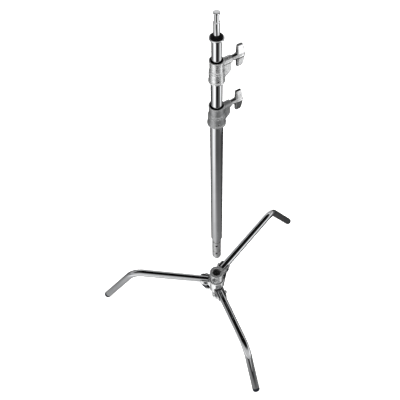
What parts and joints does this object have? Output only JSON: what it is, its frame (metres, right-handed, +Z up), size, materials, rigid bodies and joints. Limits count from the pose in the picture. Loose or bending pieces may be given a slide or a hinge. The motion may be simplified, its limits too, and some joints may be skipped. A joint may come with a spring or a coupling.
{
  "type": "c stand",
  "caption": "Century stand: nested swinging bent legs on a detachable socket base, telescoping column with two clamp collars and a round stud on top.",
  "frame": {"origin": "where the column's axis meets the floor that the feet stand on", "axes": "+Z up along the column; +X to the right and +Y away from a viewer in front; the fixed high leg points 52.94 degrees from +X towards +Y"},
  "size_m": [0.7152, 0.7243, 1.331],
  "materials": {
    "chrome_tube": "polished chrome plate on steel tube and turned steel",
    "cast_chrome": "satin chrome plate on cast metal",
    "steel": "zinc-bright machined steel",
    "brass": "machined",
    "nylon": "moulded nylon",
    "black_plastic": "moulded, matt",
    "rubber": "moulded rubber"
  },
  "bodies": {
    "base": {"hub_casting": "cast_chrome", "hub_end_nut": "cast_chrome", "post_spacer": "steel", "post_retaining_ring": "steel", "stem_washers": "steel", "leg_high_tube": "chrome_tube", "leg_high_end_plug": "steel", "leg_high_fork_bolt": "steel", "leg_high_brace": "cast_chrome", "leg_high_brace_pins": "steel", "leg_high_lower_ring": "cast_chrome", "leg_high_foot": "rubber"},
    "mid_leg": {"leg_mid_bracket": "cast_chrome", "leg_mid_tube": "chrome_tube", "leg_mid_end_plug": "steel", "leg_mid_fork_bolt": "steel", "leg_mid_brace": "cast_chrome", "leg_mid_brace_pins": "steel", "leg_mid_lower_ring": "cast_chrome", "leg_mid_foot": "rubber", "leg_mid_detent_screw": "steel"},
    "low_leg": {"leg_low_bracket": "cast_chrome", "leg_low_tube": "chrome_tube", "leg_low_end_plug": "steel", "leg_low_fork_bolt": "steel", "leg_low_brace": "cast_chrome", "leg_low_brace_pins": "steel", "leg_low_lower_ring": "cast_chrome", "leg_low_foot": "rubber"},
    "lock_pad": {"socket_lock_pad": "brass"},
    "lock_screw": {"socket_lock_screw": "steel"},
    "column": {"spigot": "chrome_tube", "main_tube": "chrome_tube", "lower_collar": "cast_chrome", "lower_collar_bush": "nylon", "lower_collar_grub_screws": "steel"},
    "riser_1": {"riser_1_tube": "chrome_tube", "riser_1_guide": "nylon", "upper_collar": "cast_chrome", "upper_collar_bush": "nylon", "upper_collar_grub_screws": "steel"},
    "riser_2": {"riser_2_tube": "chrome_tube", "riser_2_guide": "nylon", "top_cap": "chrome_tube", "bumper_washer": "black_plastic", "baby_stud": "chrome_tube"},
    "lower_shoe": {"lower_brake_shoe": "brass"},
    "lower_knob": {"lower_clamp_screw": "steel", "lower_clamp_washer": "steel", "lower_clamp_wing": "cast_chrome"},
    "upper_shoe": {"upper_brake_shoe": "brass"},
    "upper_knob": {"upper_clamp_screw": "steel", "upper_clamp_washer": "steel", "upper_clamp_wing": "cast_chrome"}
  },
  "joints": [
    {"name": "mid_leg_swing", "type": "hinge", "parent": "base", "child": "mid_leg", "pos_m": [0, 0, 0.19], "axis": [0, 0, 1], "range_deg": [-70, 0]},
    {"name": "low_leg_swing", "type": "hinge", "parent": "base", "child": "low_leg", "pos_m": [0, 0, 0.15], "axis": [0, 0, 1], "range_deg": [0, 70]},
    {"name": "socket_lock_turn", "type": "hinge", "parent": "lock_pad", "child": "lock_screw", "pos_m": [-0.00958, -0.02631, 0.223], "axis": [-0.342, -0.9397, 0], "range_deg": [0, 720]},
    {"name": "socket_lock_travel", "type": "slide", "parent": "base", "child": "lock_pad", "axis": [-0.342, -0.9397, 0], "range_m": [0, 0.0026]},
    {"name": "column_lift", "type": "slide", "parent": "base", "child": "column", "axis": [0, 0, 1], "range_m": [-0.211, 0.06]},
    {"name": "riser_1_slide", "type": "slide", "parent": "column", "child": "riser_1", "axis": [0, 0, 1], "range_m": [-0.08, 0.35]},
    {"name": "riser_2_slide", "type": "slide", "parent": "riser_1", "child": "riser_2", "axis": [0, 0, 1], "range_m": [-0.06, 0.38]},
    {"name": "lower_knob_turn", "type": "hinge", "parent": "lower_shoe", "child": "lower_knob", "pos_m": [0.05032, 0.03268, 1.033], "axis": [0.8387, 0.5446, 0], "range_deg": [0, 720]},
    {"name": "lower_shoe_travel", "type": "slide", "parent": "column", "child": "lower_shoe", "axis": [0.8387, 0.5446, 0], "range_m": [0, 0.0031]},
    {"name": "upper_knob_turn", "type": "hinge", "parent": "upper_shoe", "child": "upper_knob", "pos_m": [0.05032, 0.03268, 1.18], "axis": [0.8387, 0.5446, 0], "range_deg": [0, 720]},
    {"name": "upper_shoe_travel", "type": "slide", "parent": "riser_1", "child": "upper_shoe", "axis": [0.8387, 0.5446, 0], "range_m": [0, 0.0031]}
  ],
  "couplings": [
    {"joint": "socket_lock_travel", "follows": "socket_lock_turn", "m_per_rad": 0.00019894},
    {"joint": "lower_shoe_travel", "follows": "lower_knob_turn", "m_per_rad": 0.00023873},
    {"joint": "upper_shoe_travel", "follows": "upper_knob_turn", "m_per_rad": 0.00023873}
  ]
}
